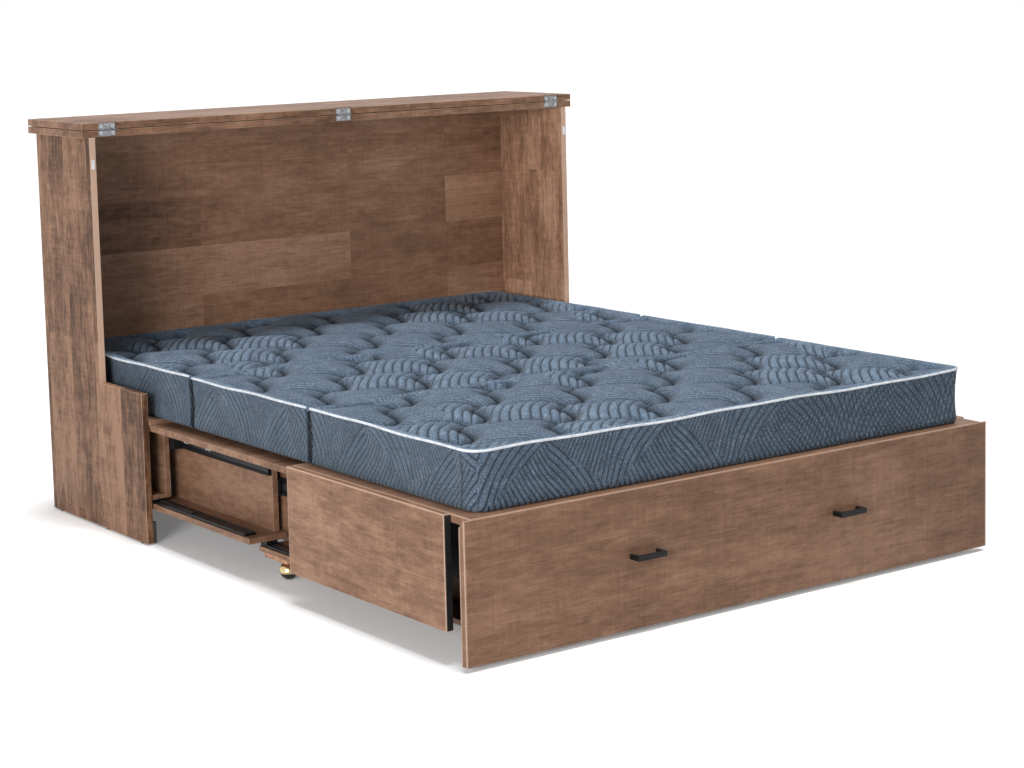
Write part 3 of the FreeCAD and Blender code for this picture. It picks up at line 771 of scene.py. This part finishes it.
# Mattress: three quilted sections
quilt = {
    "gridStep": 0.0034,
    "borderRings": 16,
    "crown": 0.008,
    "crownLengthShare": 0.8,         # of the crown, that is gone at a section's ends
    "topRound": 0.006,
    "joinRound": 0.011,
    "cornerRound": 0.045,
    "joinCorner": 0.016,
    "cornerReach": 0.05,             # how far from a corner the border starts to turn
    "drawIn": 0.005,
    "footRound": 0.014,              # where the border turns under
    "tuckShare": 0.6,                # of this round, how far it is drawn in
    "alongRow": (0.160, -0.132),     # from a pillow to the next one of its row
    "acrossRow": (0.150, 0.160),     # and to the row behind
    "cornerAt": (-0.102, 0.092),
    "waveAlong": 0.118,              # the seams swing, in shares of a pillow
    "waveAcross": 0.088,
    "fullness": 2.6,                 # the higher, the flatter the pillows
    "frontPuffShare": 0.84,          # of a pillow's height, at its front seam
    "sewnDepth": 0.038,
    "fadeFrom": (0.004, 0.034),      # from the rim in, where the quilting starts and is full
    "joinPace": 3,                   # how much sooner it is full at a join
    "threadFrom": (0.0025, 0.0095),  # from a seam, where its dark thread with the painted crease shade beside it is full and gone
    # painted shade in the hollows by the seams: how far it reaches and how it falls off
    "hollowWidth": 0.036,
    "hollowFall": 1.15,
    "kindSteps": (3, 7),             # scatter the kinds of pillow over columns and rows
    "kinds": 5,
    "ribbedKinds": 2,                # the first kinds are ribbed, the next one on half of the pillow
    "halfRibbedFrom": (0.50, 0.58),
    "ribsPerPillow": 9,
    "ribSwing": 0.07,
    "ribInside": (0.006, 0.020),     # from a seam, where the ribs start and are full
    "ribGroove": (0.40, 1.0),        # between two ribs, where a groove starts and is full
    "ribThread": (0.64, 0.98),       # and the same for its thread
    "ribDepthShare": 0.15,
    "ribShade": 0.92,
    "finePitch": 0.0115,
    "fineBowShare": 0.25,
    "joinShadowTop": 0.007,
    "joinShadowSide": 0.014,
    "joinShade": 0.4,
    "cornerSeam": 0.055,             # the upright seam, from the foot corner
    "cornerSeamFrom": (0.001, 0.006),
    "cornerSeamShade": 0.7,
}
mattressSections = (
    # node, body, a free end at the foot, a free end at the head, shift of the pillows along their row
    ("mattress_foot", "mattress_foot_body", True, False, 0.0),
    ("mattress_middle", "mattress_middle_body", False, False, 0.0),
    ("mattress_head", "cabinet", False, True, 0.2),
)


def smoothStep(low, high, values):
    t = np.clip((values - low) / (high - low), 0, 1)
    return t * t * (3 - 2 * t)


def pillowQuilt(x, y, shift):
    # Rows of pillows with swinging seams: how full they are, 0 where sewn, and the marks of the cloth, with
    # painted shade in the creases
    (ax, ay), (bx, by) = quilt["alongRow"], quilt["acrossRow"]
    area = ax * by - ay * bx
    x, y = x - quilt["cornerAt"][0], y - quilt["cornerAt"][1]
    along = (x * by - y * bx) / area + shift
    across = (y * ax - x * ay) / area
    swungAlong = along - quilt["waveAlong"] * np.sin(math.tau * across)
    swungAcross = across + quilt["waveAcross"] * np.sin(math.tau * along)
    column, row = np.floor(swungAlong), np.floor(swungAcross)
    u, v = swungAlong - column, swungAcross - row       # the place in a pillow, from 0 to 1
    lengthU, lengthV = math.hypot(ax, ay), math.hypot(bx, by)
    near = np.minimum(np.minimum(u, 1 - u) * lengthU, np.minimum(v, 1 - v) * lengthV)
    full = (1 - np.abs(2 * u - 1) ** quilt["fullness"]) * (1 - np.abs(2 * v - 1) ** quilt["fullness"])
    frontPuff = quilt["frontPuffShare"]
    puff = np.sqrt(np.maximum(0, full)) * (frontPuff + (1 - frontPuff) * v)
    threadAndShade = 1 - smoothStep(*quilt["threadFrom"], near)
    # some pillows are ribbed, some on one half alone
    columnStep, rowStep = quilt["kindSteps"]
    kind = np.mod(column * columnStep + row * rowStep + column * row, quilt["kinds"])
    halfRibbed = np.where(kind == quilt["ribbedKinds"], smoothStep(*quilt["halfRibbedFrom"], u), 0.0)
    share = np.where(kind < quilt["ribbedKinds"], 1.0, halfRibbed)
    inside = smoothStep(*quilt["ribInside"], near)
    ribPlace = (along + quilt["ribSwing"] * np.sin(math.pi * v)) * quilt["ribsPerPillow"]
    rib = np.abs(np.mod(ribPlace, 1) - 0.5) * 2         # 0 on a rib's back, 1 between two
    puff = puff - quilt["ribDepthShare"] * smoothStep(*quilt["ribGroove"], rib) * share * inside
    ribThread = smoothStep(*quilt["ribThread"], rib) * share * inside * quilt["ribShade"]
    fineBow = quilt["fineBowShare"] * lengthU * u * u
    # painted shade: the thread lines widen into the creases beside them, and the hollows by the seams are
    # darkened
    marks = {
        "seamsAndShade": np.maximum(threadAndShade, ribThread),
        "paintedHollowShade": (1 - smoothStep(0, quilt["hollowWidth"], near)) ** quilt["hollowFall"],
        "fineRow": (v * lengthV + fineBow) / quilt["finePitch"],
        "fineShare": (1 - share) * inside,
    }
    return puff, marks


def gridCounts(low, high):
    size = high - low
    return round(size.x / quilt["gridStep"]), round(size.y / quilt["gridStep"])


def sectionBlank(name, low, high):
    # A grid for the top, whose rim is extruded down ring by ring and closed underneath
    size = high - low
    columns, rows = gridCounts(low, high)
    deselectAll()
    bpy.ops.mesh.primitive_grid_add(x_subdivisions=columns, y_subdivisions=rows, size=1)
    blank = bpy.context.object
    blank.name = name
    points = readPoints(blank)
    for axis in (0, 1):
        points[:, axis] = low[axis] + (points[:, axis] + 0.5) * size[axis]
    writePoints(blank, points)
    bpy.ops.object.mode_set(mode="EDIT")
    bpy.ops.mesh.select_mode(type="EDGE")
    bpy.ops.mesh.select_all(action="DESELECT")
    bpy.ops.mesh.select_non_manifold(extend=False, use_boundary=True)
    for ring in range(quilt["borderRings"]):
        bpy.ops.mesh.extrude_edges_move(TRANSFORM_OT_translate={"value": (0, 0, -1)})
    bpy.ops.mesh.edge_face_add()
    bpy.ops.mesh.select_all(action="SELECT")
    bpy.ops.mesh.normals_make_consistent(inside=False)
    bpy.ops.object.mode_set(mode="OBJECT")
    return blank


def roundCorners(x, y, low, high, frontRadius, rearRadius):
    # Draws the square corners of the plan in to round ones
    for endY, inward, radius in ((low.y, 1, frontRadius), (high.y, -1, rearRadius)):
        for endX, side in ((low.x, 1), (high.x, -1)):
            u = 1 - (x - endX) * side / radius
            w = 1 - (y - endY) * inward / radius
            near = (u > 0) & (w > 0)
            roundU = u * np.sqrt(np.maximum(0, 1 - w ** 2 / 2))
            roundW = w * np.sqrt(np.maximum(0, 1 - u ** 2 / 2))
            x = np.where(near, endX + (1 - roundU) * side * radius, x)
            y = np.where(near, endY + (1 - roundW) * inward * radius, y)
    return x, y


def outwardOf(x, y, low, high):
    # Which way the border faces, in plan
    reach = quilt["cornerReach"]
    middleY, halfY = (low.y + high.y) / 2, (high.y - low.y) / 2
    alongX = np.clip((np.abs(x) - (high.x - reach)) / reach, 0, 1) * np.sign(x)
    alongY = np.clip((np.abs(y - middleY) - (halfY - reach)) / reach, 0, 1) * np.sign(y - middleY)
    sharpX, sharpY = alongX * np.abs(alongX), alongY * np.abs(alongY)
    total = np.maximum(tiny, np.sqrt(sharpX ** 2 + sharpY ** 2))
    return sharpX / total, sharpY / total


def roundDrop(distance, radius):
    # How far a rounded edge lies below the top, at a distance in from the rim
    t = np.clip(1 - distance / radius, 0, 1)
    return radius * (1 - np.sqrt(1 - t ** 2))


def crownHeight(x, y, low, high):
    middleY, halfY = (low.y + high.y) / 2, (high.y - low.y) / 2
    acrossBed = 1 - (x / high.x) ** 2
    alongBed = 1 - ((y - middleY) / halfY) ** 2 * quilt["crownLengthShare"]
    return quilt["crown"] * np.minimum(acrossBed, alongBed)


def borderShape(ring, low, rimZ):
    # The height of each ring of the border, and how far it is drawn in
    depth = ring / quilt["borderRings"]
    z = rimZ + (low.z - rimZ) * depth
    under = np.clip(1 - (z - low.z) / quilt["footRound"], 0, 1)
    tuck = quilt["footRound"] * quilt["tuckShare"] * (1 - np.sqrt(1 - under ** 2))
    return z, quilt["drawIn"] * np.sin(math.pi * depth) + tuck


def shapeSection(blank, low, high, footEnd, headEnd, shift):
    points = readPoints(blank)
    gridX, gridY = points[:, 0], points[:, 1]
    ring = np.round(-points[:, 2])       # 0 on the top, then counted down the border
    top = ring == 0
    fromSide, fromFront, fromRear = high.x - np.abs(gridX), gridY - low.y, high.y - gridY
    onEnd = np.minimum(fromFront, fromRear) < fromSide
    # at a join the edges are rounder, the corners sharper, and the quilting carries on
    ends = (footEnd, headEnd)
    frontRound, rearRound = (quilt["topRound" if free else "joinRound"] for free in ends)
    frontCorner, rearCorner = (quilt["cornerRound" if free else "joinCorner"] for free in ends)
    frontPace, rearPace = (1 if free else quilt["joinPace"] for free in ends)
    puff, marks = pillowQuilt(gridX, gridY, shift)
    fade = smoothStep(*quilt["fadeFrom"],
                      np.minimum.reduce([fromSide, fromFront * frontPace, fromRear * rearPace]))
    edgeTop = high.z - quilt["crown"]
    rimDrop = np.maximum.reduce([roundDrop(fromSide, quilt["topRound"]), roundDrop(fromFront, frontRound),
                                 roundDrop(fromRear, rearRound)])
    topZ = edgeTop + crownHeight(gridX, gridY, low, high) - rimDrop
    topZ = topZ - quilt["sewnDepth"] * (1 - puff) * fade
    # the border hangs from the rim, and stays flat at a join
    borderZ, inset = borderShape(ring, low, edgeTop - quilt["topRound"])
    joinFace = onEnd & np.where(fromFront < fromRear, not footEnd, not headEnd)
    inset = np.where(joinFace, 0.0, inset)
    x, y = roundCorners(gridX, gridY, low, high, frontCorner, rearCorner)
    outX, outY = outwardOf(x, y, low, high)
    x = np.where(top, x, x - outX * inset)
    y = np.where(top, y, y - outY * inset)
    writePoints(blank, np.stack([x, y, np.where(top, topZ, borderZ)], axis=1))
    # marks for the cloth: thread lines with painted shade beside them, painted shade in the hollows and
    # along the joins, the corner seam and the fine rows
    fromJoin = np.minimum(np.inf if footEnd else fromFront, np.inf if headEnd else fromRear)
    shadow = np.where(top, quilt["joinShadowTop"], quilt["joinShadowSide"])
    nearJoin = 1 - smoothStep(0, shadow, fromJoin)
    seamed = 1 - smoothStep(*quilt["cornerSeamFrom"], np.abs(fromFront - quilt["cornerSeam"]))
    seamed = seamed * (footEnd & ~onEnd) * quilt["cornerSeamShade"]
    seamsAndShadeOnTop = np.maximum(marks["seamsAndShade"] * fade, nearJoin * quilt["joinShade"])
    setPointValue(blank, "seamsAndShade", np.where(top, seamsAndShadeOnTop, np.maximum(seamed, nearJoin)))
    setPointValue(blank, "paintedHollowShade", np.where(top, marks["paintedHollowShade"] * fade, 0.0))
    setPointValue(blank, "fineRow", np.where(top, marks["fineRow"], 0.0))
    setPointValue(blank, "fineShare", np.where(top, marks["fineShare"] * fade, 0.0))


# Piping round the rim of each section
piping = {
    "radius": 0.0031,
    "roundSteps": 3,
    "proud": 0.0012,         # out from the rim
    "lift": 0.002,           # up from it
    "cornerSteps": 14,
    "step": 0.012,           # between the points of a run
    "leastPoints": 4,
    "wobble": 0.0016,
    "wobbleWaves": ((1.0, 9.0, 0.0), (0.6, 23.0, 1.0)),      # share, radians per metre, start
    "tailIn": 0.045,         # a run ends in a tail that turns into the join and sinks
    "tailTurn": 0.015,
    "tailDown": 0.022,
    "joinGap": 0.004,
}


def tailPoints(edge, side, end, inward):
    # The tail of a run, from its end in the join out to the rim
    y = end + piping["joinGap"] * inward
    return [(edge + piping["tailIn"] * side, y), (edge + piping["tailTurn"] * side, y),
            (edge, end + piping["tailTurn"] * inward)]


def cornerPoints(centreX, centreY, first):
    # A quarter round, from its first angle
    radius, steps = quilt["cornerRound"], piping["cornerSteps"]
    angles = [math.radians(first + 90 * k / steps) for k in range(steps + 1)]
    return [(centreX + radius * math.cos(a), centreY + radius * math.sin(a)) for a in angles]


def pipingRuns(low, high, footEnd, headEnd):
    # The sewn lines round the rim, as lists of plan points
    radius = quilt["cornerRound"]
    left, right, front, rear = low.x, high.x, low.y, high.y
    if footEnd:
        return [tailPoints(left, 1, rear, -1)
                + cornerPoints(left + radius, front + radius, 180)
                + cornerPoints(right - radius, front + radius, 270)
                + tailPoints(right, -1, rear, -1)[::-1]]
    if headEnd:
        return [tailPoints(right, -1, front, 1)
                + cornerPoints(right - radius, rear - radius, 0)
                + cornerPoints(left + radius, rear - radius, 90)
                + tailPoints(left, 1, front, 1)[::-1]]
    return [tailPoints(edge, side, front, 1) + tailPoints(edge, side, rear, -1)[::-1]
            for edge, side in ((left, 1), (right, -1))]


def fineRun(run):
    # Points at even steps along a run
    corners = np.array(run)
    lengths = np.hypot(*np.diff(corners, axis=0).T)
    places = np.concatenate([[0], np.cumsum(lengths)])
    count = max(piping["leastPoints"], int(places[-1] / piping["step"]))
    marks = np.linspace(0, places[-1], count)
    return np.stack([np.interp(marks, places, corners[:, k]) for k in (0, 1)], axis=1), marks


def addPiping(name, body, low, high, footEnd, headEnd):
    rimZ = high.z - quilt["crown"] - quilt["topRound"]
    middleY = (low.y + high.y) / 2
    curve = bpy.data.curves.new(name, "CURVE")
    curve.dimensions = "3D"
    curve.bevel_depth = piping["radius"]
    curve.bevel_resolution = piping["roundSteps"]
    curve.use_fill_caps = True
    for run in pipingRuns(low, high, footEnd, headEnd):
        flat, marks = fineRun(run)
        spline = curve.splines.new("POLY")
        spline.points.add(len(flat) - 1)
        for index, ((x, y), mark) in enumerate(zip(flat, marks)):
            fromEnd = min(mark, marks[-1] - mark)
            sink = piping["tailDown"] * (1 - min(1, fromEnd / piping["tailIn"]))
            sway = piping["wobble"] * sum(share * math.sin(mark * rate + start)
                                          for share, rate, start in piping["wobbleWaves"])
            if abs(x) > high.x - quilt["cornerRound"]:
                x += math.copysign(piping["proud"], x)
            else:
                y += math.copysign(piping["proud"], y - middleY)
            spline.points[index].co = (x, y, rimZ + sway - sink + piping["lift"], 1)
    obj = bpy.data.objects.new(name, curve)
    bpy.context.collection.objects.link(obj)
    makeActive(obj)
    bpy.ops.object.convert(target="MESH")
    obj = bpy.context.object
    bpy.ops.object.shade_smooth()
    dress(obj, whitePiping)
    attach(obj, body)


def addMattress():
    for node, body, footEnd, headEnd, shift in mattressSections:
        low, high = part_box(node)
        name = node.replace("mattress", "quilted")
        section = sectionBlank(name, low, high)
        shapeSection(section, low, high, footEnd, headEnd, shift)
        makeActive(section)
        bpy.ops.object.shade_smooth()
        dress(section, quiltKnit)
        section.data.materials.append(borderKnit)
        columns, rows = gridCounts(low, high)
        clothSlots = np.zeros(len(section.data.polygons), dtype=np.int32)
        clothSlots[columns * rows:] = 1          # the border's faces come after the grid's
        section.data.polygons.foreach_set("material_index", clothSlots)
        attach(section, body)
        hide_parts(node)
        addPiping(name + "_piping", body, low, high, footEnd, headEnd)
        print("mattress section:", name, len(section.data.polygons), "faces")


addMattress()

# Slides: channels with an inner rail, and pale stops on one pair
slides = {
    "rimShare": 0.16,            # of the channel's width, left standing each side
    "hollowShare": 0.42,         # of its thickness
    "railShare": 0.42,           # of its width
    "railLengthShare": 0.46,     # of its length, from the cabinet end
    "railEndRims": 1.2,          # the rail ends this many rims short of the channel
    "railDropShare": 0.25,       # of the hollow's depth, from the channel's face to the rail's
    "bevel": 0.0007,
    "bevelSteps": 2,
    "stopsOn": "mid_upper_slides",
    "stopPairs": (0.118, 0.240),     # from the cabinet end to the middle of each pair
    "stopSpacing": 0.014,
    "stopLength": 0.005,
    "stopHeight": 0.010,
    "stopInset": 0.0004,         # below the channel's face
}
slideFaces = (
    # node, body, the side that is hollow: outward or up
    ("mid_upper_slides", "mid_section", "out"),
    ("mid_lower_slides", "mid_section", "up"),
    ("front_side_slides", "front_section", "out"),
    ("front_lower_slides", "front_section", "up"),
)


def boxPiece(name, low, high):
    deselectAll()
    bpy.ops.mesh.primitive_cube_add(size=1)
    piece = bpy.context.object
    piece.name = name
    points = readPoints(piece) + 0.5
    writePoints(piece, np.array(low) + points * (np.array(high) - np.array(low)))
    return piece


def hollowFace(piece, axis, sign, rim, depth):
    # Insets the face that looks along the axis and sinks it
    makeActive(piece)
    bpy.ops.object.mode_set(mode="EDIT")
    bpy.ops.mesh.select_mode(type="FACE")
    bpy.ops.mesh.select_all(action="DESELECT")
    bpy.ops.object.mode_set(mode="OBJECT")
    for face in piece.data.polygons:
        face.select = face.normal[axis] * sign > squareOn
    bpy.ops.object.mode_set(mode="EDIT")
    bpy.ops.mesh.inset(thickness=rim, depth=-depth)
    bpy.ops.object.mode_set(mode="OBJECT")


def bevelEdges(piece):
    makeActive(piece)
    bpy.ops.object.mode_set(mode="EDIT")
    bpy.ops.mesh.select_all(action="SELECT")
    bpy.ops.mesh.bevel(offset=slides["bevel"], segments=slides["bevelSteps"], affect="EDGES")
    bpy.ops.object.mode_set(mode="OBJECT")


def joinPieces(pieces, name):
    deselectAll()
    for piece in pieces:
        piece.select_set(True)
    bpy.context.view_layer.objects.active = pieces[0]
    bpy.ops.object.join()
    pieces[0].name = name
    return pieces[0]


def slideStops(middleZ, rearY, floorX, faceX):
    # Nylon stops, in pairs, in the hollow of a channel that looks sideways
    lowX, highX = sorted((floorX, faceX))
    halfY, halfZ = slides["stopLength"] / 2, slides["stopHeight"] / 2
    stops = []
    for pair in slides["stopPairs"]:
        for side in (-1, 1):
            y = rearY - pair - side * slides["stopSpacing"] / 2
            stop = boxPiece("stop", (lowX, y - halfY, middleZ - halfZ), (highX, y + halfY, middleZ + halfZ))
            dress(stop, paleNylon)
            stops.append(stop)
    return stops


def slidePieces(node, low, high, way, side):
    # The channel of one side with what lies in it
    axis, across, sign = (0, 2, side) if way == "out" else (2, 0, 1)
    width, thick = high[across] - low[across], high[axis] - low[axis]
    rim, sunk = width * slides["rimShare"], thick * slides["hollowShare"]
    channel = boxPiece("channel", low, high)
    hollowFace(channel, axis, sign, rim, sunk)
    bevelEdges(channel)
    dress(channel, blackCoat)
    middle = (low[across] + high[across]) / 2
    faceAt = high[axis] if sign > 0 else low[axis]
    floorAt = faceAt - sign * sunk
    railLow, railHigh = low.copy(), high.copy()
    railLow[across] = middle - width * slides["railShare"] / 2
    railHigh[across] = middle + width * slides["railShare"] / 2
    railLow[1] = high[1] - (high[1] - low[1]) * slides["railLengthShare"]
    railHigh[1] = high[1] - rim * slides["railEndRims"]
    railLow[axis], railHigh[axis] = sorted((floorAt, faceAt - sign * sunk * slides["railDropShare"]))
    rail = boxPiece("rail", railLow, railHigh)
    bevelEdges(rail)
    dress(rail, dullSteel)
    pieces = [channel, rail]
    if node == slides["stopsOn"]:
        pieces += slideStops(middle, high[1], floorAt, faceAt - sign * slides["stopInset"])
    return pieces


def addSlides():
    for node, body, way in slideFaces:
        points = readPoints(nodes[node])
        pieces = []
        for side in (-1, 1):
            own = points[points[:, 0] * side > 0]
            pieces += slidePieces(node, own.min(0), own.max(0), way, side)
        whole = joinPieces(pieces, node.replace("slides", "channels"))
        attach(whole, body)
        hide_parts(node)
    print("slides made")


addSlides()

# Screws in the hinge plates of the folding top
hingeScrews = {
    "radius": 0.0042,
    "sides": 24,
    "head": 0.0016,
    "spread": 0.0175,        # from the middle of the hinge
    "hingeHalf": 0.026,      # half of a hinge's length
    "plate": 0.002,          # its thickness: the screws sit on its face, behind the knuckles
    "plateSlack": 0.0003,
    "slotWidth": 0.0012,
    "slotLength": 0.0050,
    "slotProud": 0.0001,
    "slotDeep": 0.0004,
}


def screwPieces(x, faceY, z):
    # A flat head and the two dark slots across it
    front = faceY - hingeScrews["head"]
    deselectAll()
    bpy.ops.mesh.primitive_cylinder_add(vertices=hingeScrews["sides"], radius=hingeScrews["radius"],
                                        depth=hingeScrews["head"], rotation=(math.pi / 2, 0, 0),
                                        location=(x, faceY - hingeScrews["head"] / 2, z))
    bpy.ops.object.transform_apply(location=True, rotation=True, scale=True)
    head = bpy.context.object
    dress(head, brightPlate)
    pieces = [head]
    halfLong, halfWide = hingeScrews["slotLength"] / 2, hingeScrews["slotWidth"] / 2
    for halfX, halfZ in ((halfLong, halfWide), (halfWide, halfLong)):
        mark = boxPiece("slot", (x - halfX, front - hingeScrews["slotProud"], z - halfZ),
                        (x + halfX, front + hingeScrews["slotDeep"], z + halfZ))
        dress(mark, darkNylon)
        pieces.append(mark)
    return pieces


def addHingeScrews():
    for node, body in (("top_hinge_rear_plates", "cabinet"), ("top_hinge_front_plates", "top_flap")):
        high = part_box(node)[1]
        points = readPoints(nodes[node])
        faceY = high.y - hingeScrews["plate"]
        plateZ = points[np.abs(points[:, 1] - faceY) < hingeScrews["plateSlack"], 2]
        centreZ = (plateZ.min() + plateZ.max()) / 2
        reach = high.x - hingeScrews["hingeHalf"]
        pieces = []
        for centre in (-reach, 0.0, reach):
            for side in (-1, 1):
                pieces += screwPieces(centre + side * hingeScrews["spread"], faceY, centreZ)
        screws = joinPieces(pieces, node.replace("plates", "screws"))
        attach(screws, body)
    print("hinge screws made")


addHingeScrews()

print("done")
